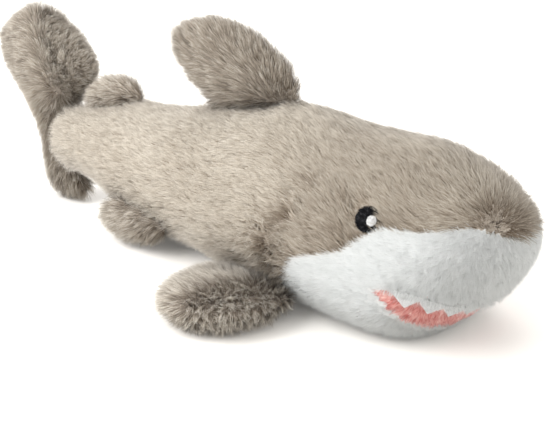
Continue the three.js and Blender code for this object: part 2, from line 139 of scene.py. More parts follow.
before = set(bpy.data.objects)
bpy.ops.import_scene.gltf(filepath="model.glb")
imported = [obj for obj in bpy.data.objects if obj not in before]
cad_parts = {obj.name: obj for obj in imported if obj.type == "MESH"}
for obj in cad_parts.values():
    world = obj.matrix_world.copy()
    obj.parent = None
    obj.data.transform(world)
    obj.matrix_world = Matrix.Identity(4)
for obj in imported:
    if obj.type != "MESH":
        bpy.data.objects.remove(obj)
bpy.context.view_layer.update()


# --- Small helpers ------------------------------------------------------------------------------


def link(name, data):
    piece = bpy.data.objects.new(name, data)
    bpy.context.scene.collection.objects.link(piece)
    return piece


def unit(vectors):
    length = np.linalg.norm(vectors, axis=-1, keepdims=True)
    return vectors / np.maximum(length, 1e-12)


def smoothstep(low, high, values):
    t = np.clip((values - low) / (high - low), 0.0, 1.0)
    return t * t * (3.0 - 2.0 * t)


def waves(points, wavelength, seed):
    """A smooth random value near -1 to 1 at each point, changing over about one wavelength."""
    rng = np.random.default_rng(seed)
    directions = unit(rng.normal(size=(7, 3)))
    stretch = rng.uniform(0.7, 1.5, size=7)
    phases = rng.uniform(0.0, 2.0 * math.pi, size=7)
    angles = points @ (directions * (stretch * 2.0 * math.pi / wavelength)[:, None]).T + phases
    return np.sin(angles).mean(axis=1) * 1.9


# --- Studio -------------------------------------------------------------------------------------


def add_camera():
    yaw = math.radians(CAMERA_YAW)
    pitch = math.radians(CAMERA_PITCH)
    level = math.cos(pitch)
    forward = Vector((level * math.cos(yaw), level * math.sin(yaw), math.sin(pitch)))
    camera = link("camera", bpy.data.cameras.new("camera"))
    camera.location = CAMERA_PLACE
    camera.rotation_euler = forward.to_track_quat("-Z", "Y").to_euler()
    camera.data.lens = CAMERA_LENS
    camera.data.sensor_width = SENSOR_WIDTH
    bpy.context.scene.camera = camera


def add_area_light(name, place, target, size, watts):
    light = link(name, bpy.data.lights.new(name, "AREA"))
    light.data.shape = "DISK"
    light.data.size = size
    light.data.energy = watts
    light.location = place
    light.rotation_euler = (Vector(target) - Vector(place)).to_track_quat("-Z", "Y").to_euler()


def add_studio():
    world = bpy.data.worlds.new("studio")
    world.use_nodes = True
    background = world.node_tree.nodes["Background"]
    background.inputs["Color"].default_value = (*WORLD_COLOUR, 1.0)
    background.inputs["Strength"].default_value = WORLD_STRENGTH
    bpy.context.scene.world = world
    bpy.context.scene.view_settings.view_transform = "Standard"

    mesh = bpy.data.meshes.new("floor")
    half = FLOOR_SIZE / 2
    corners = [(-half, -half, 0), (half, -half, 0), (half, half, 0), (-half, half, 0)]
    mesh.from_pydata(corners, [], [(0, 1, 2, 3)])
    floor = link("floor", mesh)
    table = bpy.data.materials.new("lit_table")
    table.use_nodes = True
    shader = table.node_tree.nodes["Principled BSDF"]
    shader.inputs["Base Color"].default_value = FLOOR_COLOUR
    shader.inputs["Roughness"].default_value = 0.9
    shader.inputs["Specular IOR Level"].default_value = 0.1
    shader.inputs["Emission Color"].default_value = FLOOR_GLOW_COLOUR
    shader.inputs["Emission Strength"].default_value = TABLE_GLOW
    mesh.materials.append(table)

    add_area_light("key_light", **KEY_LIGHT)
    add_area_light("front_light", **FRONT_LIGHT)
    add_area_light("fill_light", **FILL_LIGHT)
    add_area_light("rim_light", **RIM_LIGHT)


# --- Materials ----------------------------------------------------------------------------------


def ramp_node(tree, stops):
    node = tree.nodes.new("ShaderNodeValToRGB")
    ramp = node.color_ramp
    while len(ramp.elements) < len(stops):
        ramp.elements.new(0.5)
    for element, (place, colour) in zip(ramp.elements, stops):
        element.position = place
        element.color = (*colour, 1.0)
    return node


def pile_material(name, tone_stops, root_shade_stops, through, sheen=0.3, gloss=0.2):
    """Pile colour: tone runs across the strands' UVs, and root to tip runs up them, darkening each strand
    towards its root as painted shade for the depths of the pile.

    through is the share of light that passes on through a strand.
    """
    material = bpy.data.materials.new(name)
    material.use_nodes = True
    tree = material.node_tree
    shader = tree.nodes["Principled BSDF"]
    coordinates = tree.nodes.new("ShaderNodeUVMap")
    coordinates.uv_map = "OFBake"
    axes = tree.nodes.new("ShaderNodeSeparateXYZ")
    tone = ramp_node(tree, tone_stops)
    root = ramp_node(tree, root_shade_stops)
    shade = tree.nodes.new("ShaderNodeMix")
    shade.data_type = "RGBA"
    shade.blend_type = "MULTIPLY"
    shade.inputs["Factor"].default_value = 1.0
    glow = tree.nodes.new("ShaderNodeBsdfTranslucent")
    both = tree.nodes.new("ShaderNodeMixShader")
    both.inputs["Fac"].default_value = through
    tree.links.new(coordinates.outputs["UV"], axes.inputs["Vector"])
    tree.links.new(axes.outputs["X"], tone.inputs["Fac"])
    tree.links.new(axes.outputs["Y"], root.inputs["Fac"])
    tree.links.new(tone.outputs["Color"], shade.inputs[MIX_A])
    tree.links.new(root.outputs["Color"], shade.inputs[MIX_B])
    tree.links.new(shade.outputs[MIX_RESULT], shader.inputs["Base Color"])
    tree.links.new(shade.outputs[MIX_RESULT], glow.inputs["Color"])
    tree.links.new(shader.outputs["BSDF"], both.inputs[1])
    tree.links.new(glow.outputs["BSDF"], both.inputs[2])
    tree.links.new(both.outputs["Shader"], tree.nodes["Material Output"].inputs["Surface"])
    shader.inputs["Roughness"].default_value = 0.85
    shader.inputs["Specular IOR Level"].default_value = gloss
    shader.inputs["Sheen Weight"].default_value = sheen
    shader.inputs["Sheen Roughness"].default_value = 0.5
    return material


def cloth_material(name, dark, light, grain, bump, sheen=0.3):
    """Matted fibre over woven backing, or felt: two tones of fine noise with a small bump."""
    material = bpy.data.materials.new(name)
    material.use_nodes = True
    tree = material.node_tree
    shader = tree.nodes["Principled BSDF"]
    place = tree.nodes.new("ShaderNodeTexCoord")
    fibres = tree.nodes.new("ShaderNodeTexNoise")
    fibres.inputs["Scale"].default_value = 1.0 / grain
    fibres.inputs["Detail"].default_value = 4.0
    fibres.inputs["Roughness"].default_value = 0.7
    colour = ramp_node(tree, [(0.3, dark), (0.7, light)])
    relief = tree.nodes.new("ShaderNodeBump")
    relief.inputs["Strength"].default_value = bump
    relief.inputs["Distance"].default_value = grain
    tree.links.new(place.outputs["Object"], fibres.inputs["Vector"])
    tree.links.new(fibres.outputs["Fac"], colour.inputs["Fac"])
    tree.links.new(colour.outputs["Color"], shader.inputs["Base Color"])
    tree.links.new(fibres.outputs["Fac"], relief.inputs["Height"])
    tree.links.new(relief.outputs["Normal"], shader.inputs["Normal"])
    shader.inputs["Roughness"].default_value = 0.95
    shader.inputs["Specular IOR Level"].default_value = 0.1
    shader.inputs["Sheen Weight"].default_value = sheen
    return material


# --- Stuffed skins ------------------------------------------------------------------------------


def joined_copy(name, nodes):
    """One mesh that holds copies of several CAD solids."""
    builder = bmesh.new()
    for node in nodes:
        builder.from_mesh(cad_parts[node].data)
    mesh = bpy.data.meshes.new(name)
    builder.to_mesh(mesh)
    builder.free()
    return link(name, mesh)


def apply_modifiers(piece):
    graph = bpy.context.evaluated_depsgraph_get()
    mesh = bpy.data.meshes.new_from_object(piece.evaluated_get(graph), depsgraph=graph)
    piece.modifiers.clear()
    piece.data = mesh


def vertex_array(mesh):
    points = np.empty(len(mesh.vertices) * 3, np.float32)
    mesh.vertices.foreach_get("co", points)
    return points.reshape(-1, 3).astype(float)


def closed_skin(name, nodes, voxel):
    """The outer surface of the joined solids as one smooth skin."""
    skin = joined_copy(name, nodes)
    remesh = skin.modifiers.new("remesh", "REMESH")
    remesh.mode = "VOXEL"
    remesh.voxel_size = voxel
    smooth = skin.modifiers.new("smooth", "SMOOTH")
    smooth.factor = 0.5
    smooth.iterations = 4
    apply_modifiers(skin)
    return skin


def inflate(skins):
    """Cloth pressure from inside puffs every skin out together, each point by a limited amount."""
    flat = {}
    for skin in skins:
        flat[skin.name] = vertex_array(skin.data)
        cloth = skin.modifiers.new("cloth", "CLOTH")
        cloth.settings.use_pressure = True
        cloth.settings.uniform_pressure_force = PUFF_PRESSURE
        cloth.settings.tension_stiffness = CLOTH_STRETCH
        cloth.settings.compression_stiffness = CLOTH_STRETCH
        cloth.settings.bending_stiffness = CLOTH_BENDING
        cloth.settings.effector_weights.gravity = 0.0
        cloth.collision_settings.use_collision = False
        cloth.point_cache.frame_start = 1
        cloth.point_cache.frame_end = PUFF_FRAMES
    for step in range(1, PUFF_FRAMES + 1):
        bpy.context.scene.frame_set(step)
    for skin in skins:
        apply_modifiers(skin)
        start = flat[skin.name]
        shift = vertex_array(skin.data) - start
        length = np.linalg.norm(shift, axis=1, keepdims=True)
        shift *= np.minimum(1.0, PUFF_LIMIT / np.maximum(length, 1e-9))
        skin.data.vertices.foreach_set("co", (start + shift).astype(np.float32).ravel())
    bpy.context.scene.frame_set(1)


def finish_skin(skin, material):
    """One subdivision, kept above the floor, with soft shading and its cloth."""
    subdivide = skin.modifiers.new("subdivide", "SUBSURF")
    subdivide.levels = 1
    subdivide.render_levels = 1
    apply_modifiers(skin)
    points = vertex_array(skin.data)
    points[:, 2] = np.maximum(points[:, 2], FLOOR_CLEARANCE)
    skin.data.vertices.foreach_set("co", points.astype(np.float32).ravel())
    skin.data.polygons.foreach_set("use_smooth", np.ones(len(skin.data.polygons), bool))
    skin.data.materials.clear()
    skin.data.materials.append(material)
    skin.data.update()


# --- Pile ---------------------------------------------------------------------------------------


def roots_on(skin, density, seed):
    """Random points on a skin, density per square metre, with the skin's smooth normals there."""
    mesh = skin.data
    mesh.calc_loop_triangles()
    corners = np.empty(len(mesh.loop_triangles) * 3, np.int32)
    mesh.loop_triangles.foreach_get("vertices", corners)
    corners = corners.reshape(-1, 3)
    points = vertex_array(mesh)
    normals = np.empty(len(mesh.vertices) * 3, np.float32)
    mesh.vertex_normals.foreach_get("vector", normals)
    normals = normals.reshape(-1, 3).astype(float)
    a, b, c = (points[corners[:, k]] for k in range(3))
    area = np.linalg.norm(np.cross(b - a, c - a), axis=1) / 2
    rng = np.random.default_rng(seed)
    count = int(area.sum() * density)
    chosen = rng.choice(len(area), size=count, p=area / area.sum())
    u = np.sqrt(rng.random(count))[:, None]
    v = rng.random(count)[:, None]
    weights = (1 - u, u * (1 - v), u * v)
    place = sum(w * points[corners[chosen, k]] for k, w in enumerate(weights))
    facing = sum(w * normals[corners[chosen, k]] for k, w in enumerate(weights))
    return place, unit(facing), corners[chosen]


def tree_of(nodes):
    """A search tree over the faces of CAD nodes."""
    points = []
    faces = []
    for node in nodes:
        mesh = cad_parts[node].data
        start = len(points)
        points.extend(vertex.co.copy() for vertex in mesh.vertices)
        faces.extend([start + index for index in face.vertices] for face in mesh.polygons)
    return BVHTree.FromPolygons(points, faces)


def nearest_tree(points, trees):
    """The index of the closest tree to each point."""
    distance = [[tree.find_nearest(Vector(point))[3] for point in points] for tree in trees]
    return np.array(distance).argmin(axis=0)


def group_of_roots(roots, corners, vertex_groups, trees):
    """Each root's panel. Only roots on a triangle that a seam crosses need the slow search."""
    around = vertex_groups[corners]
    group = around[:, 0].copy()
    on_seam = (around != around[:, :1]).any(axis=1)
    group[on_seam] = nearest_tree(roots[on_seam], trees)
    return group


def clumps_of(points, cell, seed):
    """Groups strands into locks about one cell wide, with ragged borders."""
    warp = np.stack([waves(points, cell * 3.0, seed + k) for k in range(3)], axis=1)
    keys = np.floor((points + warp * cell * 0.5) / cell).astype(np.int64)
    mixed = keys * CELL_MIX
    _, group = np.unique(mixed[:, 0] ^ mixed[:, 1] ^ mixed[:, 2], return_inverse=True)
    return group


def group_mean(values, group):
    counts = np.bincount(group)
    return np.stack([np.bincount(group, column) / counts for column in values.T], axis=1)


def strand_mesh(name, points, uv_points, quads):
    """One mesh of many strands, each a stack of quads with a triangle for its tip."""
    count, per_strand, _ = points.shape
    strand_faces = [[2 * k + 1, 2 * k, 2 * k + 2, 2 * k + 3] for k in range(quads)]
    strand_faces.append([2 * quads + 1, 2 * quads, 2 * quads + 2])
    pattern = np.concatenate(strand_faces)
    sizes = np.array([len(face) for face in strand_faces])
    corners = (np.arange(count)[:, None] * per_strand + pattern[None, :]).ravel()
    totals = np.tile(sizes, count)
    starts = np.concatenate([[0], np.cumsum(totals)[:-1]])

    mesh = bpy.data.meshes.new(name)
    mesh.vertices.add(count * per_strand)
    mesh.vertices.foreach_set("co", points.astype(np.float32).ravel())
    mesh.loops.add(len(corners))
    mesh.loops.foreach_set("vertex_index", corners.astype(np.int32))
    mesh.polygons.add(len(totals))
    mesh.polygons.foreach_set("loop_start", starts.astype(np.int32))
    mesh.polygons.foreach_set("use_smooth", np.ones(len(totals), bool))
    layer = mesh.uv_layers.new(name="OFBake")
    layer.data.foreach_set("uv", uv_points.reshape(-1, 2)[corners].astype(np.float32).ravel())
    mesh.update()
    return mesh


def grow(name, roots, normals, flow, coat, seed, size=1.0, shade=0.0, raised=0.0, ruffle=0.0):
    """Strands as tapered ribbons.

    Each lies along flow, lifts off the skin, bows back to it and joins its lock.
    size, shade and raised change the length, the tone and the lift, for all strands or one by one.
    ruffle turns and lifts whole locks at random and draws each lock tighter.
    """
    rng = np.random.default_rng(seed)
    count = len(roots)
    along = unit(flow - normals * (flow * normals).sum(axis=1, keepdims=True))
    across = np.cross(normals, along)

    group = clumps_of(roots, coat["lock"], seed)
    lock_count = group.max() + 1
    lock_tone, lock_turn, lock_lift = (rng.normal(0.0, 1.0, lock_count)[group] for _ in range(3))

    wild = coat["wild"]
    turn = wild * (0.6 * waves(roots, 0.045, seed + 11) + 0.6 * waves(roots, 0.012, seed + 12))
    turn += rng.normal(0.0, coat["stray"], count) + 0.7 * ruffle * lock_turn
    along = along * np.cos(turn)[:, None] + across * np.sin(turn)[:, None]
    across = np.cross(normals, along)
    lift = coat["lift"] + raised + 0.4 * wild * waves(roots, 0.010, seed + 13)
    lift = lift + rng.normal(0.0, 0.12, count)
    lift = np.minimum(lift + 0.3 * ruffle * lock_lift, STEEPEST_LIFT)
    length = coat["length"] * size * (1.0 + 0.3 * wild * waves(roots, 0.014, seed + 14))
    length = length * rng.uniform(0.5, 1.15, count)
    rise = normals * np.sin(lift)[:, None]
    start = along * np.cos(lift)[:, None] + rise
    bow = -rise * coat["bow"] + across * rng.normal(0.0, 0.12, count)[:, None]
    bow[:, 2] -= coat["droop"]

    tips = roots + (start + bow) * length[:, None]
    gather = np.broadcast_to(coat["gather"] * (1.0 + 0.5 * np.asarray(ruffle)), (count,))
    pull = (group_mean(tips, group)[group] - tips) * gather[:, None]

    roll = rng.normal(0.0, 0.5, count)
    side = across * np.cos(roll)[:, None] + normals * np.sin(roll)[:, None]
    width = coat["width"] * rng.uniform(0.8, 1.2, count)

    quads = coat["quads"]
    levels = np.linspace(0.0, 1.0, quads + 2)
    rows = []
    heights = []
    for level in levels:
        centre = roots + (start * level + bow * level**2) * length[:, None] + pull * level**1.6
        half = side * (width * 0.5 * (1.0 - TIP_NARROWING * level))[:, None]
        if level < 1.0:
            rows += [centre - half, centre + half]
            heights += [level, level]
        else:
            rows.append(centre)
            heights.append(level)
    points = np.stack(rows, axis=1)
    points[:, :, 2] = np.maximum(points[:, :, 2], FLOOR_CLEARANCE)
    per_strand = points.shape[1]

    mixed_tone = 0.5 * lock_tone + 0.5 * rng.normal(0.0, 1.0, count)
    tone = 0.5 + coat["contrast"] * (1.0 + ruffle) * mixed_tone
    tone = np.clip(tone + shade, 0.03, 0.97)
    spread = np.array([-1.0, 1.0] * (quads + 1) + [0.0]) * 0.004
    up_strand = np.broadcast_to(0.02 + 0.96 * np.array(heights), (count, per_strand))
    uv_points = np.stack([tone[:, None] + spread[None, :], up_strand], axis=2)

    mesh = strand_mesh(name, points, uv_points, quads)
    facing = unit(normals * (1.0 - NORMAL_LEAN) + start * NORMAL_LEAN)
    facing = np.repeat(facing, per_strand, axis=0)
    mesh.normals_split_custom_set_from_vertices(facing.astype(np.float32))
    mesh.materials.append(coat["material"])
    return link(name, mesh)


# --- Coats --------------------------------------------------------------------------------------

BACK_TONES = [(0.0, (0.24, 0.19, 0.14)), (0.5, (0.66, 0.615, 0.54)), (1.0, (0.87, 0.845, 0.79))]
FIN_TONES = [(0.0, (0.14, 0.11, 0.085)), (0.5, (0.50, 0.45, 0.38)), (1.0, (0.90, 0.87, 0.80))]
WHITE_TONES = [(0.0, (0.68, 0.70, 0.69)), (0.5, (0.80, 0.815, 0.81)), (1.0, (0.90, 0.91, 0.91))]
GLINT_TONES = [(0.0, (0.34, 0.34, 0.34)), (0.5, (0.56, 0.56, 0.56)), (1.0, (0.74, 0.74, 0.74))]
PINK_TONES = [(0.0, (0.56, 0.15, 0.14)), (0.5, (0.84, 0.39, 0.35)), (1.0, (0.95, 0.74, 0.68))]
BLACK_TONES = [(0.0, (0.002, 0.002, 0.003)), (0.6, (0.006, 0.006, 0.007)), (1.0, (0.045, 0.045, 0.05))]
# Root-to-tip ramps: each strand darkens towards its root, painted shade for the dim depths of the pile
PILE_ROOT_SHADE = [(0.0, (0.36, 0.29, 0.23)), (0.5, (0.78, 0.75, 0.71)), (0.9, (1.0, 1.0, 1.0))]
FIN_ROOT_SHADE = [(0.0, (0.20, 0.15, 0.11)), (0.5, (0.64, 0.60, 0.56)), (0.9, (1.0, 1.0, 1.0))]
SOFT_ROOT_SHADE = [(0.0, (0.90, 0.90, 0.90)), (0.6, (0.98, 0.98, 0.98)), (1.0, (1.0, 1.0, 1.0))]

BACK_CLOTH = {"dark": (0.34, 0.29, 0.24), "light": (0.50, 0.44, 0.37), "grain": 0.0012, "bump": 0.3}
WHITE_CLOTH = {"dark": (0.68, 0.68, 0.67), "light": (0.78, 0.78, 0.77), "grain": 0.0012, "bump": 0.2}
PINK_CLOTH = {"dark": (0.55, 0.17, 0.15), "light": (0.70, 0.27, 0.24), "grain": 0.0010, "bump": 0.3}
FIN_CLOTH = {"dark": (0.20, 0.17, 0.14), "light": (0.30, 0.26, 0.22), "grain": 0.0012, "bump": 0.3}
# Felt for the teeth and eye highlights: grey tones for white felt, painted shade so the teeth look no
# brighter than the self-shadowed white pile
FELT = {"dark": (0.48, 0.48, 0.48), "light": (0.58, 0.58, 0.58), "grain": 0.0008, "bump": 0.3}
BLACK_CLOTH = {
    "dark": (0.003, 0.003, 0.004), "light": (0.010, 0.010, 0.011),
    "grain": 0.0008, "bump": 0.3, "sheen": 0.0,
}

# Each coat: strands to the square metre, their length and width, how they lift, bow and droop,
# how wide a lock is, how wild and stray the pile is, how tightly each lock is drawn together,
# how much the tones differ, and how many quads each strand has below its tip
BACK_COAT = {
    "material": pile_material("back_pile", BACK_TONES, PILE_ROOT_SHADE, 0.35),
    "density": 2.8e6, "length": 0.0125, "width": 0.00027, "lift": 0.58, "bow": 0.35, "droop": 0.04,
    "lock": 0.0015, "wild": 0.31, "stray": 0.15, "gather": 0.38, "contrast": 0.13, "quads": 2,
}
WHITE_COAT = {
    "material": pile_material("white_pile", WHITE_TONES, SOFT_ROOT_SHADE, 0.5),
    "density": 4.4e6, "length": 0.0085, "width": 0.00025, "lift": 0.95, "bow": 0.30, "droop": 0.03,
    "lock": 0.002, "wild": 0.25, "stray": 0.5, "gather": 0.22, "contrast": 0.20, "quads": 1,
}
PINK_COAT = {
    "material": pile_material("pink_pile", PINK_TONES, SOFT_ROOT_SHADE, 0.4),
    "density": 5.0e6, "length": 0.0044, "width": 0.00030, "lift": 0.80, "bow": 0.4, "droop": 0.10,
    "lock": 0.0016, "wild": 0.5, "stray": 0.3, "gather": 0.60, "contrast": 0.45, "quads": 1,
}
FIN_COAT = {
    "material": pile_material("fin_pile", FIN_TONES, FIN_ROOT_SHADE, 0.42),
    "density": 3.2e6, "length": 0.0120, "width": 0.00027, "lift": 0.80, "bow": 0.30, "droop": 0.03,
    "lock": 0.0016, "wild": 0.40, "stray": 0.18, "gather": 0.45, "contrast": 0.29, "quads": 2,
}
THREAD_COAT = {
    "material": pile_material("black_thread", BLACK_TONES, SOFT_ROOT_SHADE, 0.05, sheen=0.0, gloss=0.05),
    "density": 12.0e6, "length": 0.0026, "width": 0.00030, "lift": 0.35, "bow": 0.5, "droop": 0.0,
    "lock": 0.0012, "wild": 0.5, "stray": 0.35, "gather": 0.5, "contrast": 0.35, "quads": 2,
}
GLINT_COAT = {
    "material": pile_material("white_thread", GLINT_TONES, SOFT_ROOT_SHADE, 0.1),
    "density": 14.0e6, "length": 0.0008, "width": 0.00030, "lift": 0.9, "bow": 0.4, "droop": 0.0,
    "lock": 0.0010, "wild": 0.5, "stray": 0.5, "gather": 0.3, "contrast": 0.3, "quads": 1,
}
FELT_COAT = {
    "material": pile_material("felt_fuzz", WHITE_TONES, SOFT_ROOT_SHADE, 0.5),
    "density": 5.0e6, "length": 0.0016, "width": 0.00024, "lift": 0.4, "bow": 0.3, "droop": 0.0,
    "lock": 0.0020, "wild": 0.5, "stray": 0.7, "gather": 0.1, "contrast": 0.08, "quads": 1,
}

# Each fin: the point its pile fans out from, its CAD panels, how light its pile is, the ends of
# its root seam, how wide the crease darkened there with painted shade is, and how strongly the body's
# pile parts round it.
# Some fins have a ridge, a line along the fin where the pile parts and is darkened with painted shade, or
# a front, a point where the body's pile stands up against the fin
UPRIGHT = ["left", "right", "filling"]
PADDLE = ["upper", "lower", "filling"]
FINS = {
    "dorsal_fin": {
        "fan": (0.052, 0.0, 0.085), "nodes": UPRIGHT, "shade": 0.0,
        "seam": ((0.016, 0.0, 0.099), (-0.001, 0.0, 0.096)), "crease": 0.008, "part": 0.0,
        "front": (0.071, 0.0, 0.106),
    },
    "second_dorsal_fin": {
        "fan": (-0.068, 0.0, 0.088), "nodes": UPRIGHT, "shade": 0.14,
        "seam": ((-0.084, 0.0, 0.085), (-0.105, 0.0, 0.080)), "crease": 0.007, "part": 0.0,
        "front": (-0.064, 0.0, 0.088),
    },
    "tail_fin": {
        "fan": (-0.165, 0.0, 0.085), "nodes": UPRIGHT, "shade": 0.08,
        "seam": ((-0.150, 0.0, 0.076), (-0.153, 0.0, 0.036)), "crease": 0.008, "part": 0.0,
        "ridge": ((-0.150, 0.0, 0.086), (-0.173, 0.0, 0.130)),
    },
    "pectoral_fin_left": {
        "fan": (0.085, 0.030, 0.014), "nodes": PADDLE, "shade": 0.32,
        "seam": ((0.103, 0.049, 0.014), (0.045, 0.049, 0.014)), "crease": 0.012, "part": 1.2,
        "ridge": ((0.093, 0.046, 0.016), (0.072, 0.096, 0.014)),
    },
    "pectoral_fin_right": {
        "fan": (0.085, -0.030, 0.014), "nodes": PADDLE, "shade": 0.32,
        "seam": ((0.103, -0.049, 0.014), (0.045, -0.049, 0.014)), "crease": 0.012, "part": 1.2,
        "ridge": ((0.093, -0.046, 0.016), (0.072, -0.096, 0.014)),
    },
    "pelvic_fin_left": {
        "fan": (-0.010, 0.022, 0.042), "nodes": PADDLE, "shade": 0.20,
        "seam": ((-0.010, 0.035, 0.022), (-0.061, 0.030, 0.031)), "crease": 0.006, "part": 0.7,
    },
    "pelvic_fin_right": {
        "fan": (-0.010, -0.022, 0.042), "nodes": PADDLE, "shade": 0.20,
        "seam": ((-0.010, -0.035, 0.022), (-0.061, -0.030, 0.031)), "crease": 0.006, "part": 0.7,
    },
}
# How a strand's styling starts out
PLAIN_STYLE = {"size": 1.0, "shade": 0.0, "raised": 0.0, "ruffle": 0.0}
# Short, smooth patch on the outside of each pelvic fin, on the left side
PELVIC_PATCH = np.array([-0.022, 0.041, 0.007])


def from_seam(points, seam):
    """Distance and direction to each point from the nearest place on a fin's root seam."""
    front, rear = (np.array(end) for end in seam)
    line = rear - front
    along = np.clip((points - front) @ line / (line @ line), 0.0, 1.0)
    away = points - (front + along[:, None] * line)
    return np.linalg.norm(away, axis=1), unit(away)


def falloff(distance, reach):
    """1 where the distance is 0, falling to 0 within about twice the reach."""
    return np.exp(-((distance / reach) ** 2))


def near_point(points, place, reach):
    """1 at a place, and less away from it."""
    return falloff(np.linalg.norm(points - np.array(place), axis=1), reach)


def folds():
    """The fold's lines on both flanks."""
    for side in (1.0, -1.0):
        ends = [(x, side * y, z) for x, y, z in FOLD]
        yield from zip(ends, ends[1:])


def body_flow(points):
    """The pile lies from nose to tail and climbs over the head.

    It parts at the whorl, the fins and the folds.
    """
    away = unit(points - WHORL)
    snout = smoothstep(0.165, 0.205, points[:, 0])
    near = np.maximum(near_point(points, WHORL, WHORL_REACH), snout)[:, None]
    back = np.tile([-1.0, 0.0, 0.0], (len(points), 1))
    back[:, 1] += waves(points, 0.09, 5) * 0.12
    back[:, 2] += waves(points, 0.08, 6) * 0.12 + 0.10 + 0.80 * smoothstep(0.04, 0.15, points[:, 0])
    flow = back * (1.0 - near) + away * near
    for plan in FINS.values():
        distance, outward = from_seam(points, plan["seam"])
        flow += outward * plan["part"] * falloff(distance, SEAM_PARTING)[:, None]
    for fold in folds():
        distance, outward = from_seam(points, fold)
        flow += outward * 1.2 * falloff(distance, FOLD_PARTING)[:, None]
    return flow


def bend_with_tail(piece):
    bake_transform(piece)


def make_skins():
    body_nodes = [node for group in BODY_GROUPS.values() for node in group] + FILLINGS
    skins = {"body": closed_skin("body_skin", body_nodes, BODY_CELL)}
    for fin, plan in FINS.items():
        nodes = [f"{fin}_{part}" for part in plan["nodes"]]
        skins[fin] = closed_skin(f"{fin}_skin", nodes, FIN_CELL)
    inflate(list(skins.values()))
    return skins


def centre_of(node):
    """The middle of a CAD node's box."""
    low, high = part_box(node)
    return (np.array(low) + np.array(high)) / 2


def grow_in_parts(name, roots, normals, flow, coat, seed, order, styling):
    """Grows a coat as several pieces, none with more than a set number of triangles."""
    strands_per_piece = PIECE_TRIANGLES // (2 * coat["quads"] + 1)
    parts = math.ceil(len(roots) / strands_per_piece)
    pieces = []
    for number, chosen in enumerate(np.array_split(np.argsort(order), parts)):
        style = {key: value[chosen] for key, value in styling.items()}
        strands = (roots[chosen], normals[chosen], flow[chosen])
        pieces.append(grow(f"{name}_{number + 1}", *strands, coat, seed + number, **style))
    return pieces


def style_plain(roots):
    return {key: np.zeros(len(roots)) + value for key, value in PLAIN_STYLE.items()}


def restyle(style, weight, **changes):
    """Adds each change to the styling, in proportion to the weight."""
    for key, change in changes.items():
        style[key] += change * weight


def distance_to_eyes(roots):
    left, right = (np.linalg.norm(roots - centre_of(f"eye_{side}"), axis=1) for side in ("left", "right"))
    return np.minimum(left, right)


def style_back(roots):
    """Ruffled pile at the whorl, the fin seams and the folds, darkened there with painted shade, and
    short pile round each eye.
    """
    x, y, z = roots.T
    style = style_plain(roots)
    head = smoothstep(0.05, 0.15, x)
    below_eyes = 1.0 - smoothstep(0.060, 0.078, z)
    low_flank = (1.0 - smoothstep(0.03, 0.06, z)) * (x > -0.06)
    style["ruffle"] += 0.12
    # painted shade of the parted pile at the whorl's core
    restyle(style, near_point(roots, WHORL, WHORL_CORE), shade=-0.38, raised=0.8, ruffle=0.9, size=-0.45)
    restyle(style, head, shade=-0.16, ruffle=-0.30)
    restyle(style, head * below_eyes, shade=-0.12)
    restyle(style, 1.0 - head, size=-0.08)
    restyle(style, low_flank, ruffle=0.30)
    restyle(style, waves(roots, 0.05, 21), shade=0.06)
    for plan in FINS.values():
        distance, _ = from_seam(roots, plan["seam"])
        # painted shade in the crease along each fin's root
        restyle(style, falloff(distance, plan["crease"]), shade=-0.22)
        beside = falloff(distance, SEAM_SIDES + plan["crease"])
        restyle(style, beside, raised=0.5, ruffle=0.5, size=0.25)
        if "front" in plan:
            restyle(style, near_point(roots, plan["front"], FRONT_ON_BODY), raised=0.30, size=0.50)
    for fold in folds():
        distance, _ = from_seam(roots, fold)
        # painted shade along the fold's line
        restyle(style, falloff(distance, FOLD_LINE), shade=-0.38, raised=0.2)
        restyle(style, falloff(distance, FOLD_SIDES), ruffle=0.6)
    right_as_left = np.stack([x, np.abs(y), z], axis=1)
    for place, reach in HOLLOWS:
        # painted shade in each hollow
        restyle(style, near_point(right_as_left, place, reach), shade=-0.14, ruffle=0.8)
    cuff = smoothstep(-0.105, -0.140, x)
    restyle(style, cuff, raised=0.55, size=0.35, ruffle=0.3)
    to_eye = distance_to_eyes(roots)
    style["size"] *= 0.35 + 0.65 * smoothstep(0.005, 0.013, to_eye)
    return style, to_eye > EYE_CLEAR_BACK


def style_white(roots, flow):
    """Pile above the felt hangs down over its top, and pile under the lower lip stands up against it."""
    style = style_plain(roots)
    felt = tree_of(["felt_teeth"])
    lining = tree_of(["mouth_lining"])
    flow[:, 2] -= 0.6
    for tree, direction, reach, stretch in ((felt, -1.0, 0.006, 0.12), (lining, 1.0, 0.005, -0.60)):
        nearest = [tree.find_nearest(Vector(point)) for point in roots]
        distance = np.array([hit[3] for hit in nearest])
        beyond = (np.array([hit[0].z for hit in nearest]) - roots[:, 2]) * direction > -0.001
        lip = np.where(beyond, falloff(distance, reach), 0.0)
        flow[:] = flow * (1.0 - lip)[:, None] + np.array([0.0, 0.0, 2.0 * direction]) * lip[:, None]
        restyle(style, lip, size=stretch)
    restyle(style, waves(roots, 0.03, 22), shade=0.05)
    to_eye = distance_to_eyes(roots)
    style["size"] *= 0.25 + 0.75 * smoothstep(0.006, 0.012, to_eye)
    return style, to_eye > EYE_CLEAR_WHITE


def fin_flow(roots, plan):
    """The pile fans out from a point near the root, and away from the fin's ridge if it has one."""
    flow = unit(roots - np.array(plan["fan"]))
    if "ridge" in plan:
        _, outward = from_seam(roots, plan["ridge"])
        flow = 0.6 * flow + 0.9 * outward
    return flow


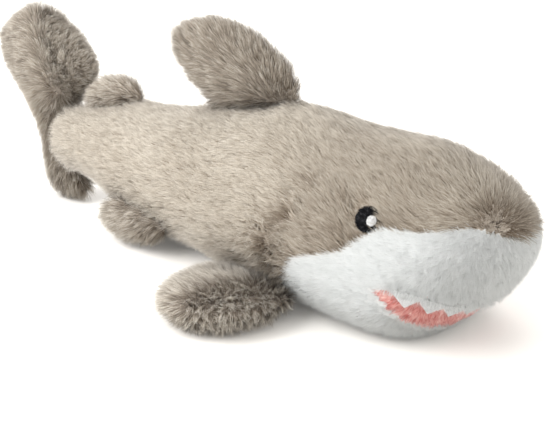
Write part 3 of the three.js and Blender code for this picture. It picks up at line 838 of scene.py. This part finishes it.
def style_fin(roots, name, plan):
    """Ruffled pile at the seam and the ridge, darkened there with painted shade.

    The tail darkens downwards, its front half is painted lighter than its key-lit rear half, and the
    pelvic fins have a short patch.
    """
    style = style_plain(roots)
    style["shade"] += plan["shade"]
    distance, _ = from_seam(roots, plan["seam"])
    # painted shade in the crease along the fin's root
    restyle(style, falloff(distance, SEAM_CREASE), shade=-0.12, raised=0.3, ruffle=0.5)
    if "ridge" in plan:
        distance, outward = from_seam(roots, plan["ridge"])
        # painted shade in the gap where the pile parts along the ridge
        restyle(style, falloff(distance, RIDGE_GAP), shade=-0.18, raised=0.4, ruffle=0.5)
    if "pectoral" in name:
        style["ruffle"] += 0.1
        restyle(style, smoothstep(-0.1, 0.6, outward[:, 0]), ruffle=0.7)
    if "front" in plan:
        restyle(style, near_point(roots, plan["front"], FRONT_ON_FIN), size=-0.45)
    if name == "tail_fin":
        # painted light and shade: the front half, facing away from the key light, is made lighter and the
        # key-lit rear half a little darker
        style["shade"] -= 0.06
        restyle(style, smoothstep(-0.5, 0.7, outward[:, 0]), shade=0.20)
        restyle(style, smoothstep(0.030, 0.008, roots[:, 2]), shade=-0.14)
    if "pelvic" in name:
        mirrored = roots * [1.0, math.copysign(1.0, roots[0, 1]), 1.0]
        patch = smoothstep(0.018, 0.011, np.linalg.norm(mirrored - PELVIC_PATCH, axis=1))
        restyle(style, patch, size=-0.25, shade=-0.16, ruffle=-0.6)
    return style


def paint_groups(skin, trees, materials):
    """Gives each panel's part of the skin its own cloth, and returns the panel of each vertex."""
    groups = nearest_tree(vertex_array(skin.data), trees)
    skin.data.materials.clear()
    for material in materials:
        skin.data.materials.append(material)
    first = np.array([face.vertices[0] for face in skin.data.polygons])
    skin.data.polygons.foreach_set("material_index", groups[first].astype(np.int32))
    return groups


def dress_body(skin):
    cloths = [
        cloth_material("back_cloth", **BACK_CLOTH),
        cloth_material("white_cloth", **WHITE_CLOTH),
        cloth_material("pink_cloth", **PINK_CLOTH),
    ]
    finish_skin(skin, cloths[0])
    trees = [tree_of(nodes) for nodes in BODY_GROUPS.values()]
    vertex_groups = paint_groups(skin, trees, cloths)
    coats = {"back": BACK_COAT, "white": WHITE_COAT, "mouth": PINK_COAT}
    for index, (group, coat) in enumerate(coats.items()):
        roots, normals, corners = roots_on(skin, coat["density"], BODY_SEED + index)
        keep = group_of_roots(roots, corners, vertex_groups, trees) == index
        roots = roots[keep]
        normals = normals[keep]
        flow = body_flow(roots)
        if group == "back":
            styling, keep = style_back(roots)
        elif group == "white":
            styling, keep = style_white(roots, flow)
        else:
            flow[:, 2] -= 0.8
            styling = style_plain(roots)
            keep = np.ones(len(roots), bool)
        styling = {key: value[keep] for key, value in styling.items()}
        order = roots[keep, 0]
        strands = (roots[keep], normals[keep], flow[keep])
        for pile in grow_in_parts(f"{group}_pile", *strands, coat, SEED_STEP * index, order, styling):
            bend_with_tail(pile)
    bend_with_tail(skin)
    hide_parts(*[node for nodes in BODY_GROUPS.values() for node in nodes], *FILLINGS)


def dress_fin(name, plan, skin, seed, cloth):
    finish_skin(skin, cloth)
    roots, normals, _ = roots_on(skin, FIN_COAT["density"], seed)
    flow = fin_flow(roots, plan)
    styling = style_fin(roots, name, plan)
    for pile in grow_in_parts(f"{name}_pile", roots, normals, flow, FIN_COAT, seed, roots[:, 2], styling):
        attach(pile, name)
    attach(skin, name)
    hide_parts(*[f"{name}_{part}" for part in plan["nodes"]])


def dress_eye(side, black, white):
    """Loose stitches over the eye's two discs. They run out from the highlight and past the rim."""
    glint = centre_of(f"eye_highlight_{side}")
    discs = ((f"eye_{side}", black, THREAD_COAT), (f"eye_highlight_{side}", white, GLINT_COAT))
    for node, cloth, coat in discs:
        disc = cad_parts[node]
        disc.data.materials.clear()
        disc.data.materials.append(cloth)
        roots, normals, _ = roots_on(disc, coat["density"], EYE_SEED)
        outward = np.array([0.0, math.copysign(1.0, glint[1]), 0.0])
        facing = normals @ outward > 0.3
        roots = roots[facing]
        flow = unit(roots - glint)
        threads = grow(f"{node}_threads", roots, normals[facing], flow, coat, EYE_SEED + 1)
        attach(threads, "trunk")


def dress_teeth(felt):
    """White felt with a short fuzz that points up, away from the teeth's edges. Both are painted grey,
    shade that keeps them no brighter than the self-shadowed white pile.
    """
    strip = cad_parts["felt_teeth"]
    strip.data.materials.clear()
    strip.data.materials.append(felt)
    roots, normals, _ = roots_on(strip, FELT_COAT["density"], TEETH_SEED)
    facing = normals @ np.array([1.0, 0.0, 0.0]) + np.abs(normals[:, 1]) > 0.3
    roots = roots[facing]
    flow = np.tile([0.0, 0.0, 1.0], (len(roots), 1))
    # painted shade: the fuzz is darkened to match the self-shadowed white pile
    fuzz = grow("felt_fuzz", roots, normals[facing], flow, FELT_COAT, TEETH_SEED + 1, shade=-0.35)
    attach(fuzz, "trunk")


add_camera()
add_studio()
skins = make_skins()
dress_body(skins["body"])
fin_cloth = cloth_material("fin_cloth", **FIN_CLOTH)
for number, (fin, plan) in enumerate(FINS.items()):
    dress_fin(fin, plan, skins[fin], FIN_SEED + SEED_STEP * number, fin_cloth)
black_cloth = cloth_material("black_cloth", **BLACK_CLOTH)
felt = cloth_material("felt", **FELT)
for side in ("left", "right"):
    dress_eye(side, black_cloth, felt)
dress_teeth(felt)
